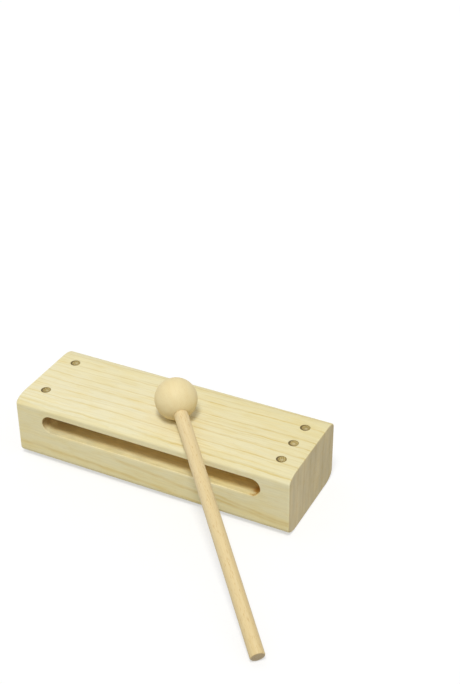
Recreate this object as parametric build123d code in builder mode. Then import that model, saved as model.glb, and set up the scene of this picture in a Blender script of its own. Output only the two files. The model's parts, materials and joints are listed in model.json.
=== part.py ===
from build123d import *
import math
import os

# A hand-held woodblock with its ball-headed beater laid across it, in millimetres.
# X runs along the block, the sound slot opens to the front at -Y, and +Z is up.
# The origin is the centre of the block's flat underside.

# Block
block_length = 180
block_width = 63
block_height = 41.5
top_edge_across = 10
top_edge_down = 4.5
bottom_edge_across = 10
bottom_edge_down = 6
end_edge_radius = 1

# Sound slot, cut in from the front
top_thickness = 7.5
slot_height = 11.5
end_thickness = 18
back_thickness = 11
slot_lip = 0.3
slot_lip_angle = 45

# Dowel pins that keep the thin top from splitting off the ends
dowel_diameter = 6
dowel_chamfer = 0.4
dowel_slot_wall = 3
dowel_side_distance = 15
dowel_floor = 12

# Beater
head_diameter = 25
socket_wall = 7.5
stick_diameter = 8
stick_length = 173
stick_end_radius = 0.8

# Fits: glue all round each pin and in the beater's socket, and air under the loose beater
glue_film = 0.05
rest_gap = 0.2

# Where the beater lies: its head's place along the block, and its stick's direction seen from above
head_along_block = 6.2
stick_heading_degrees = -47.2

# The long edges are rounded over as quarter ellipses, wider across the block than down its sides
half_width = block_width / 2
top_flat = half_width - top_edge_across
bottom_flat = half_width - bottom_edge_across
top_edge_z = block_height - top_edge_down

# The slot is as long and as deep as the walls around it leave
slot_length = block_length - 2 * end_thickness
slot_depth = block_width - back_thickness
slot_center_height = block_height - top_thickness - slot_height / 2
slot_lip_width = slot_lip * math.tan(math.radians(slot_lip_angle))

# The pins stand in the solid ends, flush with the top: two on the left, three on the right
dowel_radius = dowel_diameter / 2
dowel_length = block_height - dowel_floor
dowel_x = slot_length / 2 + dowel_slot_wall + dowel_radius
dowel_y = half_width - dowel_side_distance
dowel_places = {
    "dowel_left_front": (-dowel_x, -dowel_y),
    "dowel_left_rear": (-dowel_x, dowel_y),
    "dowel_right_front": (dowel_x, -dowel_y),
    "dowel_right_middle": (dowel_x, 0),
    "dowel_right_rear": (dowel_x, dowel_y),
}

# The stick slopes down from the head, which rests on the block, to its tip, which rests on the table
head_radius = head_diameter / 2
stick_radius = stick_diameter / 2
socket_floor = socket_wall - head_radius
stick_reach = stick_length + socket_floor
head_z = block_height + head_radius + rest_gap
stick_slope = math.asin((head_z - rest_gap) / math.hypot(stick_reach, stick_radius))
stick_slope -= math.atan2(stick_radius, stick_reach)
stick_heading = math.radians(stick_heading_degrees)
stick_direction = (
    math.cos(stick_slope) * math.cos(stick_heading),
    math.cos(stick_slope) * math.sin(stick_heading),
    -math.sin(stick_slope),
)

# The stick also lies on the rounded front edge: its axis passes the middle of that edge's ellipse at the
# ellipse's reach towards it, its own radius and the gap, and that sets how far back the head sits
edge_lean = math.hypot(stick_direction[1], stick_direction[2])
edge_reach = math.hypot(top_edge_across * stick_direction[2], top_edge_down * stick_direction[1])
stick_pass = edge_reach + (stick_radius + rest_gap) * edge_lean
head_drop = (head_z - top_edge_z) * stick_direction[1]
head_y = -top_flat + (stick_pass + head_drop) / stick_direction[2]
beater_plane = Plane(origin=(head_along_block, head_y, head_z), z_dir=stick_direction)
beater_axis = Axis(beater_plane.origin, beater_plane.z_dir)

os.makedirs("parts", exist_ok=True)

# Block: one piece of wood with rounded long edges, the slot and the blind holes for the pins
with BuildPart() as block_body:
    with BuildSketch(Plane.YZ.offset(-block_length / 2)):
        with BuildLine():
            EllipticalCenterArc(
                (bottom_flat, bottom_edge_down), bottom_edge_across, bottom_edge_down, start_angle=-90
            )
            Line((half_width, bottom_edge_down), (half_width, top_edge_z))
            EllipticalCenterArc((top_flat, top_edge_z), top_edge_across, top_edge_down)
            mirror(about=Plane.YZ)
            Line((-bottom_flat, 0), (bottom_flat, 0))
            Line((-top_flat, block_height), (top_flat, block_height))
        make_face()
    extrude(amount=block_length)
    fillet(block_body.faces().filter_by(Axis.X).edges(), end_edge_radius)

    with BuildSketch(Plane.XZ.offset(half_width)):
        with Locations((0, slot_center_height)):
            SlotOverall(slot_length, slot_height)
    extrude(amount=-slot_depth, mode=Mode.SUBTRACT)
    with BuildSketch(Plane.XZ.offset(half_width)):
        with Locations((0, slot_center_height)):
            SlotOverall(slot_length + 2 * slot_lip_width, slot_height + 2 * slot_lip_width)
    extrude(amount=-slot_lip, taper=slot_lip_angle, mode=Mode.SUBTRACT)

    with Locations(*[(x, y, block_height) for x, y in dowel_places.values()]):
        Hole(dowel_radius + glue_film, depth=dowel_length)
block_body.part.label = "block_body"
export_step(block_body.part, "parts/block_body.step")

# Dowel pins: eased at both ends and seated on the floors of their holes
for dowel_name, (x, y) in dowel_places.items():
    with BuildPart(Plane(origin=(x, y, dowel_floor))) as dowel:
        Cylinder(dowel_radius, dowel_length, align=(Align.CENTER, Align.CENTER, Align.MIN))
        chamfer(dowel.faces().filter_by(Plane.XY).edges(), dowel_chamfer)
    dowel.part.label = dowel_name
    export_step(dowel.part, f"parts/{dowel_name}.step")

# Beater head: a ball with a blind socket for the stick
with BuildPart(beater_plane) as beater_head:
    Sphere(head_radius)
    with BuildSketch(beater_plane.offset(socket_floor)):
        Circle(stick_radius + glue_film)
    extrude(amount=head_diameter, mode=Mode.SUBTRACT)
beater_head.part.label = "beater_head"
export_step(beater_head.part, "parts/beater_head.step")

# Beater stick: a round rod seated on the socket's floor, with its free end rounded over
with BuildPart(beater_plane.offset(socket_floor)) as beater_stick:
    Cylinder(stick_radius, stick_length, align=(Align.CENTER, Align.CENTER, Align.MIN))
    free_end = beater_stick.faces().sort_by(beater_axis).last
    fillet(free_end.edges(), stick_end_radius)
beater_stick.part.label = "beater_stick"
export_step(beater_stick.part, "parts/beater_stick.step")
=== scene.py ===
import json
import math

import bpy
from mathutils import Color, Euler, Matrix, Vector


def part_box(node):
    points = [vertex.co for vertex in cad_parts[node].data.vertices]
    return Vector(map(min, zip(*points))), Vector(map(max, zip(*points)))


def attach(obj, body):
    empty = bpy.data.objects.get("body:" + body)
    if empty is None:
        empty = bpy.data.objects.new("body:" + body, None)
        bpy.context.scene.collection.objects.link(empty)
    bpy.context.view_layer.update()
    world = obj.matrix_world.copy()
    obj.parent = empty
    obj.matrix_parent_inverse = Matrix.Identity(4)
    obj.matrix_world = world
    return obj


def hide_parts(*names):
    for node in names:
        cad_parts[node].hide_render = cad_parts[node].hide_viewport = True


# A woodblock with its beater. The block keeps its CAD mesh and gets a procedural wood. The pins, the ball and
# the stick are turned anew from measures in the frame. Meshes are in metres, places in materials in mm.
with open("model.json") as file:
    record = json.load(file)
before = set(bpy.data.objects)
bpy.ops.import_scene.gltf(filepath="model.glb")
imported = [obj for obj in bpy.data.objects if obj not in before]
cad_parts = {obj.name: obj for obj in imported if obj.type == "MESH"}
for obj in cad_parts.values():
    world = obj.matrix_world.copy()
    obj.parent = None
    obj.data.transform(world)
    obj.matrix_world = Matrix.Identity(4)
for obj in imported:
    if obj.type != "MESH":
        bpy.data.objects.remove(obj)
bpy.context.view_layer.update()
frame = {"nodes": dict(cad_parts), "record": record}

MM = 0.001
MM_PER_METRE = 1000.0
FULL_LEVEL = 255


def box_in_mm(node_name):
    return [corner * MM_PER_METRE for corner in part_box(node_name)]


def colour(red, green, blue):
    """A colour as it reads on screen, from 0 to 255."""
    screen = Color((red, green, blue)) / FULL_LEVEL
    return (*screen.from_srgb_to_scene_linear(), 1.0)


def tint(red, green, blue):
    """A colour to multiply by, as shares of what it tints."""
    return (red, green, blue, 1.0)


# The block and its slot, whose box is the stated opening between the slot's round ends
BLOCK_LOW, BLOCK_HIGH = box_in_mm("block_body")
SLOT_LOW, SLOT_HIGH = [
    Vector(corner) * MM_PER_METRE for corner in frame["record"]["physics"]["openings"][0]["box_m"]
]
FRONT = BLOCK_LOW.y
BACK = BLOCK_HIGH.y
TOP = BLOCK_HIGH.z
END = BLOCK_HIGH.x
SLOT_MIDDLE_Z = (SLOT_LOW.z + SLOT_HIGH.z) / 2
SLOT_HALF_HEIGHT = (SLOT_HIGH.z - SLOT_LOW.z) / 2
SLOT_HALF_LENGTH = SLOT_HIGH.x + SLOT_HALF_HEIGHT

# Where the photograph was taken from
CAMERA_PLACE = Vector((0.3093, -0.5369, 0.4759))
CAMERA_AZIMUTH = math.radians(26.79)
CAMERA_ELEVATION = math.radians(32.13)
CAMERA_ROLL = math.radians(0.44)
CAMERA_LENS_MM = 67.42

# Studio light: an even dome, and one soft light high above the block's front
WHITE = tint(1.0, 1.0, 1.0)
DOME_STRENGTH = 0.46
KEY_DIRECTION = Vector((0.13, -0.38, 0.91))
KEY_SHARE = 0.56
KEY_SOFTNESS = math.radians(16)
FLOOR_SIZE = 6.0
FLOOR_DROP = 0.05 * MM
FLOOR_PAINT = tint(0.5, 0.5, 0.5)
FLOOR_LIFT = 0.53

# Noises: each has its cells per mm along x, y and z. Most of a noise lies in the first of these ranges, and
# nearly all of it in the second
NOISE_MIDDLE = (0.3, 0.7)
NOISE_SPAN = (0.2, 0.8)

# How far a surface has to face a way, from -1 to 1, to begin to count as facing it and to count in full
END_FACING = (0.6, 0.95)
FRONT_FACING = (-0.5, -0.9)
BACK_FACING = (0.5, 0.9)
CREST_FACING = (-0.08, -0.4)
EDGE_HIGHLIGHT_FACING = (0.1, 0.4)
BEATER_END_FACING = (0.7, 0.98)
BEATER_PAINTED_SHADE_FACING = (0.4, -0.8)

# Growth rings of the block: circles about a pith far behind it, by where they cross its top
EARLYWOOD = colour(242, 233, 193)
LATEWOOD = colour(223, 199, 124)
PITH_Y = 230.0
PITH_Z = 10.0
RING_EDGES_Y = (34.0, 24.5, 14.6, 3.4, -3.3, -10.9, -19.4, -28.1)
RING_FADE_IN = 1.1
RING_FADE_OUT = 0.4
RING_WANDER = 2.0
RING_WANDER_CELLS = (1 / 75, 1 / 60, 1 / 20)
RING_WANDER_START = (225.0, 0.0, 0.0)
RING_SHIVER = 0.7
RING_SHIVER_CELLS = (1 / 7, 1 / 3, 1 / 3)

# The rings run a little askew of the block, and spread apart along it
GRAIN_SKEW = 0.0091
GRAIN_SPREAD = 0.00054
GRAIN_START_X = -46.0

# Strength of the rings and of the fine lines between them, and their share on faces other than the top
RING_STRENGTH = (0.45, 1.1)
RING_STRENGTH_CELLS = (1 / 14, 1 / 5, 1 / 20)
RING_STRENGTH_ALONG = (0.65, 1.0)
FINE_LINE_CELLS = (1 / 70, 0.8, 0.0)
FINE_LINE_EDGES = (0.52, 0.75)
FINE_LINE_SHARE = 0.35
LINES_ON_END = 0.45
LINES_ON_FRONT = 0.2
LINES_ON_BACK = 0.35
LINES_IN_SLOT = 0.3

# Lines that slant along the front: height at the block's middle, rise, bend, and where each fades in
FRONT_LINES = (
    (7.6, -0.07, -0.0004, -100.0),
    (15.9, -0.095, 0.0001, -30.0),
    (19.4, -0.11, 0.0, 25.0),
)
FRONT_LINE_HALF_WIDTH = 1.9
FRONT_LINE_FADE = 16.0
FRONT_LINE_WAVER = 1.6
FRONT_LINE_WAVER_CELLS = (1 / 14, 0.0, 1 / 8)
FRONT_LINE_SHARE = 0.6

# Tones of the block's top: coolest at the front left, warmest at the back right, with painted shade along its
# front edge
WARM_WOOD = tint(0.94, 0.91, 0.77)
WARM_SHARE = 0.65
WARM_FROM_X = -END / 6
WARM_FROM_Y = FRONT / 3
CREST_PAINTED_SHADE = tint(0.94, 0.945, 0.93)
CREST_HEIGHTS = (TOP - 6.0, TOP - 3.0)

# Tones of its front, pale at the upper right and yellower towards the foot, and of its ends, with a painted
# highlight on the end edges
FRONT_WOOD = tint(1.02, 1.0, 0.905)
PALE_FRONT = tint(1.0, 1.03, 1.12)
PALE_FRONT_FROM_X = -END / 3
PALE_FRONT_FROM_Z = TOP / 4
LOW_FRONT = tint(0.98, 0.96, 0.89)
LOW_FRONT_HEIGHTS = (TOP * 0.4, TOP * 0.15)
END_GRAIN = tint(0.86, 0.79, 0.73)
END_STRIPE_CELLS = (0.0, 1 / 6, 1 / 28)
END_STRIPE_SHADES = (0.88, 1.08)
END_BACK_SHADE = 0.88
EDGE_PAINTED_HIGHLIGHT = tint(1.04, 1.05, 1.08)

# Fibres, mottle and pores of the block
FIBRE_CELLS = (1 / 25, 1.7, 1.7)
FIBRE_SHADES = (0.95, 1.04)
MOTTLE_CELLS = (1 / 16, 1 / 3.5, 1 / 3.5)
MOTTLE_SHADES = (0.98, 1.02)
MOTTLE_WOOD = tint(0.95, 0.91, 0.78)
MOTTLE_EDGES = (0.42, 0.66)
MOTTLE_SHARE = 0.7
PORE_CELLS = (1 / 5, 3.2, 3.2)
PORE_EDGES = (0.62, 0.78)
PORE_WOOD = tint(0.86, 0.78, 0.62)
PORE_SHARE = 0.5
BLOCK_ROUGHNESS = (0.45, 0.58)
BLOCK_BUMP = 0.024 * MM

# The slot is streaked, and painted shade tints all of it, browner further in and darker to its left. Its tone
# starts at the front and fades out just past its box
SLOT_PAINTED_SHADE = tint(0.95, 0.925, 0.83)
SLOT_MOUTH_DEPTHS = (0.02, 0.15)
SLOT_DEEPER_PAINTED_SHADE = tint(1.09, 0.98, 0.83)
SLOT_BROWN_DEPTHS = (2.5, 6.5)
SLOT_SHADE_ALONG = (0.95, 1.11)
SLOT_STREAK_CELLS = (1 / 9, 1 / 2.5, 1 / 2.5)
SLOT_STREAK_SHADES = (0.91, 1.09)
SLOT_FADE_UP = (SLOT_HALF_HEIGHT + 0.8, SLOT_HALF_HEIGHT + 0.1)
SLOT_FADE_ALONG = (SLOT_HALF_LENGTH + 1.2, SLOT_HALF_LENGTH + 0.3)
SLOT_FADE_BACK = (SLOT_HIGH.y + 2.0, SLOT_HIGH.y + 1.0)

# Painted shade darkens its left end, its right end is scorched, and painted light lies below its lower lip
LEFT_END_PAINTED_SHADE = tint(0.66, 0.54, 0.40)
LEFT_END_PLACES = (SLOT_LOW.x + 6.0, SLOT_LOW.x - 3.0)
LEFT_END_HEIGHTS = (SLOT_LOW.z, SLOT_HIGH.z - 4.0)
SCORCH_WOOD = tint(0.60, 0.38, 0.16)
SCORCH_CELLS = (1 / 5, 1 / 7, 1 / 4)
SCORCH_EDGES = (0.36, 0.56)
SCORCH_PLACES = (SLOT_HIGH.x - 2.0, SLOT_HIGH.x + 2.0)
SCORCH_HEIGHTS = (SLOT_HIGH.z - 3.0, SLOT_LOW.z + 3.0)
SCORCH_DEPTHS = (11.0, 7.0)
LIP_PAINTED_LIGHT = tint(1.10, 1.09, 1.10)
LIP_PLACES = (SLOT_HIGH.x, SLOT_HIGH.x - 8.0)
LIP_HEIGHTS = (SLOT_LOW.z - 3.0, SLOT_LOW.z)

# Turned pieces: steps round the axis and along a small rounding, and what of a place lies across the axis
TURN_STEPS = 96
EASING_STEPS = 6
SHARP_ANGLE = math.radians(40)
ACROSS_AXIS = (1.0, 1.0, 0.0)

# Dowel pins: end grain with a dark rim of glue and painted shade, wider on the same side of every pin, and an
# end left slightly hollow
DOWEL_LIGHT = colour(187, 167, 104)
DOWEL_DARK = colour(152, 129, 68)
DOWEL_HEART = colour(204, 190, 146)
DOWEL_GLUE_AND_SHADE = colour(102, 82, 34)
DOWEL_HOLLOW = 0.25
DOWEL_HOLLOW_STEPS = 8
DOWEL_EASING = 0.35
DOWEL_RING_BEND = 5.0
DOWEL_GRAIN_CELLS = (2.5, 2.5, 0.05)
DOWEL_SHADES = (0.9, 1.08)
DOWEL_WAVER = 0.4
DOWEL_WAVER_CELLS = (0.6, 0.6, 0.02)
DOWEL_ROUGHNESS = (0.5, 0.65)
DOWEL_BUMP = 0.05 * MM
GLUE_AND_SHADE_OFF_CENTRE = (0.5, 0.25)
GLUE_AND_SHADE_EDGES = (2.1, 2.9)
HEART_EDGES = (1.3, 0.4)
HEART_SHARE = 0.8

# For each pin: its tone, heading and spacing of its growth rings, and where its pale heart lies
DOWEL_LOOKS = {
    "dowel_left_front": (0.91, 70.0, 1.3, (0.9, 0.1)),
    "dowel_left_rear": (0.96, 20.0, 1.0, (0.6, 0.4)),
    "dowel_right_front": (1.02, 200.0, 1.2, (0.5, -0.2)),
    "dowel_right_middle": (1.09, 100.0, 1.5, (0.3, -0.3)),
    "dowel_right_rear": (0.93, 130.0, 1.1, (0.8, -0.5)),
}

# Beater: a ball glued on a stick, the ball darkened underneath by painted shade
BALL_LOOKS = {
    "pale": colour(241, 223, 171),
    "tan": colour(239, 219, 165),
    "end_shade": tint(0.97, 0.95, 0.92),
    # Painted shade on the ball's underside
    "painted_under_shade": tint(0.80, 0.75, 0.66),
    "grain_share": 0.2,
    "roughness_range": (0.52, 0.62),
}
STICK_LOOKS = {
    "pale": colour(238, 218, 171),
    "tan": colour(231, 208, 156),
    "end_shade": tint(0.66, 0.64, 0.66),
    "painted_under_shade": WHITE,
    "grain_share": 0.6,
    "roughness_range": (0.42, 0.55),
}
BEATER_TONE_CELLS = (1 / 3, 1 / 3, 1 / 90)
BEATER_TONE_EDGES = (0.35, 0.7)
BEATER_FIBRE_CELLS = (2.0, 2.0, 1 / 14)
BEATER_FIBRE_SHADES = (-0.07, 0.06)
BEATER_FLECK_CELLS = (2.6, 2.6, 1 / 3)
BEATER_FLECK_EDGES = (0.58, 0.72)
BEATER_FLECK = tint(0.80, 0.68, 0.50)
BEATER_FAR = 165.0
BEATER_FAR_SHADE = tint(0.95, 0.92, 0.83)
BEATER_BUMP = 0.02 * MM
BALL_STEPS = 64
SOCKET_EASING = 0.12
GLUE_GAP = 0.05
STICK_EASING = 0.8
STICK_EASING_DEGREES = 80
STICK_EASING_STEPS = 8
STICK_DOME = 0.15


# Small helpers that each add one step to a material and give back what comes out of it
def add_node(tree, kind, settings=None, inputs=None):
    node = tree.nodes.new(kind)
    for name, value in (settings or {}).items():
        setattr(node, name, value)
    for key, value in (inputs or {}).items():
        if isinstance(value, bpy.types.NodeSocket):
            tree.links.new(value, node.inputs[key])
        else:
            node.inputs[key].default_value = value
    return node


def calc(tree, operation, first, second=0.0, clamp=False):
    settings = {"operation": operation, "use_clamp": clamp}
    return add_node(tree, "ShaderNodeMath", settings, {0: first, 1: second}).outputs[0]


def times(tree, *values):
    product = values[0]
    for value in values[1:]:
        product = calc(tree, "MULTIPLY", product, value)
    return product


def plus(tree, *values):
    total = values[0]
    for value in values[1:]:
        total = calc(tree, "ADD", total, value)
    return total


def less(tree, first, second):
    return calc(tree, "SUBTRACT", first, second)


def size_of(tree, value):
    return calc(tree, "ABSOLUTE", value)


def opposite(tree, share):
    return less(tree, 1.0, share)


def vector_calc(tree, operation, first, second):
    settings = {"operation": operation}
    return add_node(tree, "ShaderNodeVectorMath", settings, {0: first, 1: second}).outputs[0]


def split(tree, vector):
    return add_node(tree, "ShaderNodeSeparateXYZ", inputs={0: vector}).outputs


def noise(tree, place, cells_per_mm, detail=2.0, roughness=0.5):
    vector = vector_calc(tree, "MULTIPLY", place, cells_per_mm)
    inputs = {"Vector": vector, "Scale": 1.0, "Detail": detail, "Roughness": roughness}
    return add_node(tree, "ShaderNodeTexNoise", inputs=inputs).outputs[0]


def mapped(tree, interpolation, value, low, high, to_low, to_high):
    inputs = {0: value, 1: low, 2: high, 3: to_low, 4: to_high}
    return add_node(tree, "ShaderNodeMapRange", {"interpolation_type": interpolation}, inputs).outputs[0]


def between(tree, value, low, high, to_low=0.0, to_high=1.0):
    """A soft step from one level to another, where the value goes from low to high."""
    return mapped(tree, "SMOOTHSTEP", value, low, high, to_low, to_high)


def scaled(tree, value, low, high, to_low=0.0, to_high=1.0):
    """A straight slope from one level to another, where the value goes from low to high."""
    return mapped(tree, "LINEAR", value, low, high, to_low, to_high)


def faded(tree, share, rest):
    """1 where a share is 0, and what is left where it is 1."""
    return scaled(tree, share, 0.0, 1.0, 1.0, rest)


def swung(tree, value, reach):
    """A noise as a swing of up to `reach` mm to either side."""
    return scaled(tree, value, 0.0, 1.0, -reach, reach)


def mixed(tree, amount, first, second, blend="MIX"):
    settings = {"data_type": "RGBA", "blend_type": blend}
    return add_node(tree, "ShaderNodeMix", settings, {0: amount, 6: first, 7: second}).outputs[2]


def tinted(tree, amount, base, shade):
    return mixed(tree, amount, base, shade, "MULTIPLY")


def shaded(tree, base, value, dark, light):
    """The base colour, darker or lighter as a noise swings through the middle of its range."""
    return tinted(tree, 1.0, base, scaled(tree, value, *NOISE_MIDDLE, dark, light))


def ramp(tree, value, stops):
    node = add_node(tree, "ShaderNodeValToRGB", inputs={0: value})
    elements = node.color_ramp.elements
    while len(elements) < len(stops):
        elements.new(1.0)
    for element, (position, level) in zip(elements, stops):
        element.position = position
        element.color = (level, level, level, 1.0)
    return node.outputs[0]


def new_material(name):
    material = bpy.data.materials.new(name)
    material.use_nodes = True
    material.node_tree.nodes.clear()
    return material


def place_in_mm(tree, axis=Matrix()):
    """Where a point lies in the frame, or seen along a turned piece's own axis."""
    place = add_node(tree, "ShaderNodeTexCoord").outputs["Object"]
    inputs = {"Vector": place, "Location": axis.translation, "Rotation": axis.to_euler()}
    own_place = add_node(tree, "ShaderNodeMapping", {"vector_type": "TEXTURE"}, inputs).outputs[0]
    return vector_calc(tree, "MULTIPLY", own_place, (MM_PER_METRE,) * 3)


def direction_faced(tree, axis=Matrix()):
    facing = add_node(tree, "ShaderNodeTexCoord").outputs["Normal"]
    inputs = {"Vector": facing, "Rotation": axis.to_euler()}
    return split(tree, add_node(tree, "ShaderNodeMapping", {"vector_type": "TEXTURE"}, inputs).outputs[0])


def finish_material(tree, base, roughness, height, bump_depth):
    bump = add_node(tree, "ShaderNodeBump", inputs={"Distance": bump_depth, "Height": height})
    inputs = {"Base Color": base, "Roughness": roughness, "Normal": bump.outputs[0]}
    shader = add_node(tree, "ShaderNodeBsdfPrincipled", inputs=inputs)
    add_node(tree, "ShaderNodeOutputMaterial", inputs={"Surface": shader.outputs[0]})


# The block's wood
def slot_mask(tree, place):
    """1 inside the sound slot, 0 on the block's outside."""
    x, y, z = split(tree, place)
    in_height = between(tree, size_of(tree, less(tree, z, SLOT_MIDDLE_Z)), *SLOT_FADE_UP)
    in_length = between(tree, size_of(tree, x), *SLOT_FADE_ALONG)
    past_mouth = between(tree, less(tree, y, FRONT), *SLOT_MOUTH_DEPTHS)
    before_back = between(tree, y, *SLOT_FADE_BACK)
    return times(tree, in_height, in_length, past_mouth, before_back)


def ring_coordinate(tree, place):
    """Distance from the pith, with the slow wander of a real trunk."""
    x, y, z = split(tree, place)
    along = less(tree, x, GRAIN_START_X)
    spread = opposite(tree, times(tree, along, GRAIN_SPREAD))
    straight = less(tree, times(tree, y, spread), times(tree, along, GRAIN_SKEW))
    wander_place = vector_calc(tree, "ADD", place, RING_WANDER_START)
    wander = swung(tree, noise(tree, wander_place, RING_WANDER_CELLS), RING_WANDER)
    shiver = swung(tree, noise(tree, place, RING_SHIVER_CELLS), RING_SHIVER)
    back_to_pith = less(tree, PITH_Y, plus(tree, straight, wander, shiver))
    up_from_pith = less(tree, z, PITH_Z)
    back_square = times(tree, back_to_pith, back_to_pith)
    up_square = times(tree, up_from_pith, up_from_pith)
    return calc(tree, "SQRT", plus(tree, back_square, up_square))


def ring_amount(tree, radius):
    edges = [math.hypot(PITH_Y - y, TOP - PITH_Z) for y in RING_EDGES_Y]
    inner = edges[0] - RING_FADE_IN
    outer = edges[-1] + RING_FADE_OUT
    stops = []
    for edge in edges:
        for offset, level in ((-RING_FADE_IN, 0.0), (0.0, 1.0), (RING_FADE_OUT, 0.0)):
            stops.append(((edge + offset - inner) / (outer - inner), level))
    return ramp(tree, scaled(tree, radius, inner, outer), stops)


def fine_line_amount(tree, place, radius):
    x = split(tree, place)[0]
    ring_place = add_node(tree, "ShaderNodeCombineXYZ", inputs={0: x, 1: radius}).outputs[0]
    lines = between(tree, noise(tree, ring_place, FINE_LINE_CELLS, detail=1.0), *FINE_LINE_EDGES)
    return times(tree, lines, FINE_LINE_SHARE)


def front_line_amount(tree, place):
    x, _, z = split(tree, place)
    waver = swung(tree, noise(tree, place, FRONT_LINE_WAVER_CELLS), FRONT_LINE_WAVER)
    total = 0.0
    for height, rise, bend, start in FRONT_LINES:
        slope = plus(tree, times(tree, x, bend), rise)
        line_z = plus(tree, times(tree, x, slope), waver, height)
        off_line = size_of(tree, less(tree, z, line_z))
        line = between(tree, off_line, 0.0, FRONT_LINE_HALF_WIDTH, FRONT_LINE_SHARE, 0.0)
        fade = between(tree, x, start, start + FRONT_LINE_FADE)
        total = calc(tree, "MAXIMUM", times(tree, line, fade), total)
    return total


def grain_colour(tree, place, facing, end_face, front_face, in_slot):
    """Early wood with late wood lines, each strong in some places and faint in others."""
    radius = ring_coordinate(tree, place)
    strength = scaled(tree, noise(tree, place, RING_STRENGTH_CELLS), *NOISE_MIDDLE, *RING_STRENGTH)
    along = scaled(tree, split(tree, place)[0], -END, END, *RING_STRENGTH_ALONG)
    rings = times(tree, ring_amount(tree, radius), strength, along)
    lines = calc(tree, "MAXIMUM", rings, fine_line_amount(tree, place, radius))
    on_end = faded(tree, end_face, LINES_ON_END)
    on_front = faded(tree, front_face, LINES_ON_FRONT)
    on_back = faded(tree, between(tree, facing[1], *BACK_FACING), LINES_ON_BACK)
    lines = times(tree, lines, on_end, on_front, on_back, faded(tree, in_slot, LINES_IN_SLOT))
    front_lines = times(tree, front_line_amount(tree, place), front_face, strength)
    return mixed(tree, calc(tree, "MAXIMUM", lines, front_lines), EARLYWOOD, LATEWOOD)


def top_tones(tree, place, base, facing, off_front):
    x, y, z = split(tree, place)
    warm_along = scaled(tree, x, WARM_FROM_X, END, 0.0, WARM_SHARE)
    warm_across = scaled(tree, y, WARM_FROM_Y, BACK, 0.0, WARM_SHARE)
    base = tinted(tree, times(tree, plus(tree, warm_along, warm_across), off_front), base, WARM_WOOD)
    # Painted shade on the rounded front edge, where it faces forward and up
    near_top = between(tree, z, *CREST_HEIGHTS)
    crest = times(tree, between(tree, facing[1], *CREST_FACING), off_front, near_top)
    return tinted(tree, crest, base, CREST_PAINTED_SHADE)


def front_tones(tree, place, base, front_face):
    x, _, z = split(tree, place)
    base = tinted(tree, front_face, base, FRONT_WOOD)
    upper = between(tree, z, PALE_FRONT_FROM_Z, TOP)
    right = between(tree, x, PALE_FRONT_FROM_X, END)
    base = tinted(tree, times(tree, front_face, upper, right), base, PALE_FRONT)
    foot = between(tree, z, *LOW_FRONT_HEIGHTS)
    return tinted(tree, times(tree, front_face, foot), base, LOW_FRONT)


def painted_edge_highlight(tree, base, facing, end_face):
    """The rounded edges around the ends get a little paler, as a painted highlight."""
    toward_end = between(tree, size_of(tree, facing[0]), *EDGE_HIGHLIGHT_FACING)
    return tinted(tree, times(tree, toward_end, opposite(tree, end_face)), base, EDGE_PAINTED_HIGHLIGHT)


def end_grain(tree, place, base, end_face):
    """End grain drinks in more finish, is darker towards the back, and is striped by the rings."""
    stripe_noise = noise(tree, place, END_STRIPE_CELLS, detail=3.0)
    stripes = scaled(tree, stripe_noise, *NOISE_MIDDLE, *END_STRIPE_SHADES)
    to_back = scaled(tree, split(tree, place)[1], FRONT, BACK, 1.0, END_BACK_SHADE)
    stained = tinted(tree, 1.0, tinted(tree, 1.0, base, END_GRAIN), times(tree, stripes, to_back))
    return mixed(tree, end_face, base, stained)


def slot_tones(tree, place, base, in_slot):
    x, y, _ = split(tree, place)
    further_in = between(tree, less(tree, y, FRONT), *SLOT_BROWN_DEPTHS)
    # Painted shade in the slot: a tint over all of it, darker to its left and browner further in
    base = tinted(tree, in_slot, base, SLOT_PAINTED_SHADE)
    base = tinted(tree, in_slot, base, scaled(tree, x, -END, END, *SLOT_SHADE_ALONG))
    base = tinted(tree, times(tree, in_slot, further_in), base, SLOT_DEEPER_PAINTED_SHADE)
    streaks = noise(tree, place, SLOT_STREAK_CELLS, detail=3.0)
    return mixed(tree, in_slot, base, shaded(tree, base, streaks, *SLOT_STREAK_SHADES))


def slot_lip(tree, place, base, front_face):
    # Painted light on the front just below the slot's lower lip, standing in for an eased lip
    x, _, z = split(tree, place)
    near_edge = between(tree, z, *LIP_HEIGHTS)
    below_slot = between(tree, z, SLOT_HIGH.z, SLOT_LOW.z)
    clear_of_ends = between(tree, size_of(tree, x), *LIP_PLACES)
    return tinted(tree, times(tree, front_face, near_edge, below_slot, clear_of_ends), base, LIP_PAINTED_LIGHT)


def slot_ends(tree, place, base, in_slot):
    x, y, z = split(tree, place)
    # Painted shade over the upper part of the slot's left end
    at_left = between(tree, x, *LEFT_END_PLACES)
    high_up = between(tree, z, *LEFT_END_HEIGHTS)
    base = tinted(tree, times(tree, in_slot, at_left, high_up), base, LEFT_END_PAINTED_SHADE)
    spots = between(tree, noise(tree, place, SCORCH_CELLS, detail=3.0), *SCORCH_EDGES)
    at_right = between(tree, x, *SCORCH_PLACES)
    low_down = between(tree, z, *SCORCH_HEIGHTS)
    near_mouth = between(tree, less(tree, y, FRONT), *SCORCH_DEPTHS)
    return tinted(tree, times(tree, in_slot, spots, at_right, low_down, near_mouth), base, SCORCH_WOOD)


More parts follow.
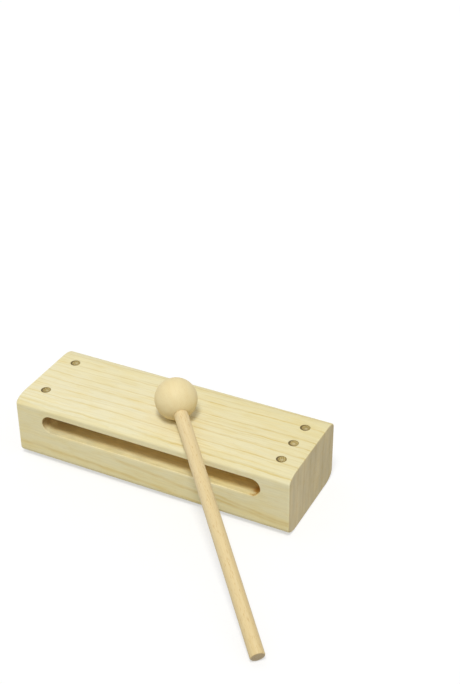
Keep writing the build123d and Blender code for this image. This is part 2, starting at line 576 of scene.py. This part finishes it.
def block_wood():
    material = new_material("block_wood_grain")
    tree = material.node_tree
    place = place_in_mm(tree)
    facing = direction_faced(tree)
    end_face = between(tree, size_of(tree, facing[0]), *END_FACING)
    front_face = between(tree, facing[1], *FRONT_FACING)
    in_slot = slot_mask(tree, place)
    fibre = noise(tree, place, FIBRE_CELLS, detail=4.0, roughness=0.6)
    mottle = noise(tree, place, MOTTLE_CELLS, detail=3.0)
    pores = between(tree, noise(tree, place, PORE_CELLS, detail=1.0), *PORE_EDGES)
    pores = times(tree, pores, opposite(tree, end_face))

    base = grain_colour(tree, place, facing, end_face, front_face, in_slot)
    base = top_tones(tree, place, base, facing, opposite(tree, front_face))
    base = front_tones(tree, place, base, front_face)
    base = painted_edge_highlight(tree, base, facing, end_face)
    base = shaded(tree, base, fibre, *FIBRE_SHADES)
    base = shaded(tree, base, mottle, *MOTTLE_SHADES)
    base = tinted(tree, between(tree, mottle, *MOTTLE_EDGES, 0.0, MOTTLE_SHARE), base, MOTTLE_WOOD)
    base = tinted(tree, times(tree, pores, PORE_SHARE), base, PORE_WOOD)
    base = end_grain(tree, place, base, end_face)
    base = slot_tones(tree, place, base, in_slot)
    base = slot_lip(tree, place, base, front_face)
    base = slot_ends(tree, place, base, in_slot)

    roughness = scaled(tree, fibre, *NOISE_SPAN, *BLOCK_ROUGHNESS)
    finish_material(tree, base, roughness, less(tree, fibre, pores), BLOCK_BUMP)
    return material


def give_material(node_name, material):
    for slot in frame["nodes"][node_name].material_slots:
        slot.link = "OBJECT"
        slot.material = material


# Turned pieces: a profile of (distance from the axis, place along the axis) in mm, spun about the axis
def arc(centre, radius, start_degrees, end_degrees, steps):
    points = []
    for step in range(steps + 1):
        angle = math.radians(start_degrees + (end_degrees - start_degrees) * step / steps)
        points.append((centre[0] + radius * math.cos(angle), centre[1] + radius * math.sin(angle)))
    return points


def turned(name, profile, axis, body, cad_node, material):
    """Both ends of the profile lie on the axis, so the piece is closed."""
    first, *rings, last = [(radius * MM, along * MM) for radius, along in profile]
    vertices = [(0.0, 0.0, first[1])]
    for radius, along in rings:
        for step in range(TURN_STEPS):
            angle = math.tau * step / TURN_STEPS
            vertices.append((radius * math.cos(angle), radius * math.sin(angle), along))
    vertices.append((0.0, 0.0, last[1]))
    faces = []
    for step in range(TURN_STEPS):
        here = 1 + step
        there = 1 + (step + 1) % TURN_STEPS
        faces.append((0, there, here))
        for ring in range(len(rings) - 1):
            below = ring * TURN_STEPS
            above = below + TURN_STEPS
            faces.append((below + here, below + there, above + there, above + here))
        top = (len(rings) - 1) * TURN_STEPS
        faces.append((top + here, top + there, len(vertices) - 1))
    mesh = bpy.data.meshes.new(name)
    mesh.from_pydata(vertices, [], faces)
    mesh.transform(axis)
    mesh.shade_smooth()
    mesh.set_sharp_from_angle(angle=SHARP_ANGLE)
    mesh.materials.append(material)
    piece = bpy.data.objects.new(name, mesh)
    bpy.context.scene.collection.objects.link(piece)
    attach(piece, body)
    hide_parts(cad_node)


# Dowel pins
def distance_from(tree, place, point):
    """How far a place lies from a line along the piece's axis through a point."""
    away = vector_calc(tree, "SUBTRACT", place, (*point, 0.0))
    flat = vector_calc(tree, "MULTIPLY", away, ACROSS_AXIS)
    return add_node(tree, "ShaderNodeVectorMath", {"operation": "LENGTH"}, {0: flat}).outputs["Value"]


def dowel_wood(name, axis):
    tone, heading, spacing, heart = DOWEL_LOOKS[name]
    turn = math.radians(heading)
    ring_centre = (DOWEL_RING_BEND * math.cos(turn), DOWEL_RING_BEND * math.sin(turn))
    material = new_material(name + "_grain")
    tree = material.node_tree
    place = place_in_mm(tree, axis)
    noise_place = vector_calc(tree, "ADD", place, (heading, 0.0, 0.0))
    grain = noise(tree, noise_place, DOWEL_GRAIN_CELLS, detail=3.0)
    waver = swung(tree, noise(tree, noise_place, DOWEL_WAVER_CELLS), DOWEL_WAVER)
    ring_place = plus(tree, distance_from(tree, place, ring_centre), waver, -DOWEL_RING_BEND)
    ring_wave = calc(tree, "COSINE", times(tree, ring_place, math.tau / spacing))
    base = mixed(tree, between(tree, ring_wave, -1.0, 1.0), DOWEL_LIGHT, DOWEL_DARK)
    in_heart = between(tree, distance_from(tree, place, heart), *HEART_EDGES, 0.0, HEART_SHARE)
    base = mixed(tree, in_heart, base, DOWEL_HEART)
    base = shaded(tree, base, grain, *[shade * tone for shade in DOWEL_SHADES])
    # A dark rim of glue and painted shade, wider on the same side of every pin
    in_glue_and_shade = between(tree, distance_from(tree, place, GLUE_AND_SHADE_OFF_CENTRE), *GLUE_AND_SHADE_EDGES)
    base = mixed(tree, in_glue_and_shade, base, DOWEL_GLUE_AND_SHADE)
    roughness = scaled(tree, grain, *NOISE_MIDDLE, *DOWEL_ROUGHNESS)
    finish_material(tree, base, roughness, grain, DOWEL_BUMP)
    return material


def dowel_profile(radius, length):
    """Worked out from the middle of the hollow end down to the foot, and given back from the foot up."""
    rim = radius - DOWEL_EASING
    hollow = []
    for step in range(DOWEL_HOLLOW_STEPS):
        reach = step / DOWEL_HOLLOW_STEPS
        hollow.append((rim * reach, length - DOWEL_HOLLOW * (1 - reach ** 2)))
    easing = arc((rim, length - DOWEL_EASING), DOWEL_EASING, 90, 0, EASING_STEPS)
    foot = [(radius, DOWEL_EASING), (rim, 0.0), (0.0, 0.0)]
    return list(reversed(hollow + easing + foot))


def add_dowels():
    for name in DOWEL_LOOKS:
        low, high = box_in_mm(name)
        middle = (low + high) / 2
        axis = Matrix.Translation(Vector((middle.x, middle.y, low.z)) * MM)
        profile = dowel_profile((high.x - low.x) / 2, high.z - low.z)
        turned(name + "_pin", profile, axis, "block", name, dowel_wood(name, axis))


# Beater: ball and stick are measured along the stick from the ball's centre
def beater_measures():
    """The stick's axis, and in mm the two radii and where the stick starts and ends."""
    low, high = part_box("beater_head")
    centre = (low + high) / 2
    points = [vertex.co - centre for vertex in frame["nodes"]["beater_stick"].data.vertices]
    direction = sum(points, Vector()).normalized()
    along = [point.dot(direction) for point in points]
    off_axis = [(point - direction * reach).length for point, reach in zip(points, along)]
    axis = Matrix.Translation(centre) @ direction.to_track_quat("Z", "Y").to_matrix().to_4x4()
    sizes = [value * MM_PER_METRE for value in ((high.x - low.x) / 2, max(off_axis), min(along), max(along))]
    return axis, sizes


def beater_wood(name, axis, pale, tan, end_shade, painted_under_shade, grain_share, roughness_range):
    material = new_material(name)
    tree = material.node_tree
    place = place_in_mm(tree, axis)
    tone = noise(tree, place, BEATER_TONE_CELLS, detail=3.0)
    fibre = noise(tree, place, BEATER_FIBRE_CELLS, detail=4.0, roughness=0.6)
    flecks = between(tree, noise(tree, place, BEATER_FLECK_CELLS, detail=1.0), *BEATER_FLECK_EDGES)
    flecks = times(tree, flecks, grain_share)
    end_face = between(tree, size_of(tree, direction_faced(tree, axis)[2]), *BEATER_END_FACING)
    # Painted shade where the ball faces down
    painted_underside_shade = between(tree, direction_faced(tree)[2], *BEATER_PAINTED_SHADE_FACING)
    base = mixed(tree, between(tree, tone, *BEATER_TONE_EDGES), pale, tan)
    base = shaded(tree, base, fibre, *[1.0 + shade * grain_share for shade in BEATER_FIBRE_SHADES])
    base = tinted(tree, flecks, base, BEATER_FLECK)
    base = tinted(tree, scaled(tree, split(tree, place)[2], 0.0, BEATER_FAR), base, BEATER_FAR_SHADE)
    base = tinted(tree, end_face, base, end_shade)
    base = tinted(tree, painted_underside_shade, base, painted_under_shade)
    roughness = scaled(tree, fibre, *NOISE_SPAN, *roughness_range)
    height = less(tree, times(tree, fibre, grain_share), flecks)
    finish_material(tree, base, roughness, height, BEATER_BUMP)
    return material


def head_profile(head_radius, hole_radius, seat):
    """A ball from its far pole to the eased lip of its socket, and down the socket to its seat."""
    lip_radius = hole_radius + SOCKET_EASING
    lip_degrees = math.degrees(math.acos(lip_radius / head_radius))
    ball = arc((0.0, 0.0), head_radius, -90, lip_degrees, BALL_STEPS)
    lip_along = ball[-1][1]
    lip = arc((lip_radius, lip_along - SOCKET_EASING), SOCKET_EASING, 90, 180, EASING_STEPS)
    return ball + lip + [(hole_radius, seat), (0.0, seat)]


def stick_profile(stick_radius, seat, reach):
    """The tip is a low dome, which has fallen by a quarter of its height at half the radius."""
    seat_end = [(0.0, seat), (stick_radius - GLUE_GAP, seat)]
    shank = [(stick_radius, seat + STICK_EASING), (stick_radius, reach / 2)]
    easing_centre = (stick_radius - STICK_EASING, reach - STICK_DOME - STICK_EASING)
    easing = arc(easing_centre, STICK_EASING, 0, STICK_EASING_DEGREES, STICK_EASING_STEPS)
    return seat_end + shank + easing + [(stick_radius / 2, reach - STICK_DOME / 4), (0.0, reach)]


def add_beater():
    axis, (head_radius, stick_radius, seat, reach) = beater_measures()
    ball_wood = beater_wood("beater_ball_grain", axis, **BALL_LOOKS)
    stick_wood = beater_wood("beater_stick_grain", axis, **STICK_LOOKS)
    head = head_profile(head_radius, stick_radius + GLUE_GAP, seat)
    stick = stick_profile(stick_radius, seat, reach)
    turned("beater_ball", head, axis, "beater", "beater_head", ball_wood)
    turned("beater_rod", stick, axis, "beater", "beater_stick", stick_wood)


# Camera
def add_camera():
    data = bpy.data.cameras.new("photo_camera")
    data.lens = CAMERA_LENS_MM
    camera = bpy.data.objects.new("photo_camera", data)
    turn = Euler((math.pi / 2 - CAMERA_ELEVATION, 0, CAMERA_AZIMUTH)).to_matrix().to_4x4()
    camera.matrix_world = Matrix.Translation(CAMERA_PLACE) @ turn @ Matrix.Rotation(-CAMERA_ROLL, 4, "Z")
    bpy.context.scene.collection.objects.link(camera)
    bpy.context.scene.camera = camera


# Light and floor
def add_key():
    data = bpy.data.lights.new("key", "SUN")
    data.energy = KEY_SHARE * math.pi
    data.angle = KEY_SOFTNESS
    key = bpy.data.objects.new("key", data)
    key.rotation_mode = "QUATERNION"
    key.rotation_quaternion = KEY_DIRECTION.to_track_quat("Z", "Y")
    bpy.context.scene.collection.objects.link(key)


def seen_directly(tree):
    """1 for what the camera sees, also in or through the object, and 0 for the light that falls on it."""
    path = add_node(tree, "ShaderNodeLightPath").outputs
    seen = plus(tree, path["Is Camera Ray"], path["Is Glossy Ray"])
    return calc(tree, "ADD", seen, path["Is Transmission Ray"], clamp=True)


def add_dome():
    world = bpy.data.worlds.new("studio_dome")
    world.use_nodes = True
    tree = world.node_tree
    tree.nodes.clear()
    strength = scaled(tree, seen_directly(tree), 0.0, 1.0, DOME_STRENGTH, 1.0)
    sky = add_node(tree, "ShaderNodeBackground", inputs={"Color": WHITE, "Strength": strength})
    add_node(tree, "ShaderNodeOutputWorld", inputs={"Surface": sky.outputs[0]})
    bpy.context.scene.world = world


def floor_white():
    material = new_material("floor_white")
    tree = material.node_tree
    paint = add_node(tree, "ShaderNodeBsdfDiffuse", inputs={"Color": FLOOR_PAINT})
    lift = times(tree, seen_directly(tree), FLOOR_LIFT)
    glow = add_node(tree, "ShaderNodeEmission", inputs={"Strength": lift})
    both = add_node(tree, "ShaderNodeAddShader", inputs={0: paint.outputs[0], 1: glow.outputs[0]})
    add_node(tree, "ShaderNodeOutputMaterial", inputs={"Surface": both.outputs[0]})
    return material


def add_floor():
    half = FLOOR_SIZE / 2
    corners = [(-half, -half), (half, -half), (half, half), (-half, half)]
    mesh = bpy.data.meshes.new("floor")
    mesh.from_pydata([(x, y, -FLOOR_DROP) for x, y in corners], [], [(0, 1, 2, 3)])
    mesh.materials.append(floor_white())
    floor = bpy.data.objects.new("floor", mesh)
    bpy.context.scene.collection.objects.link(floor)


give_material("block_body", block_wood())
add_dowels()
add_beater()
add_camera()
add_key()
add_dome()
add_floor()
bpy.context.scene.view_settings.view_transform = "Standard"
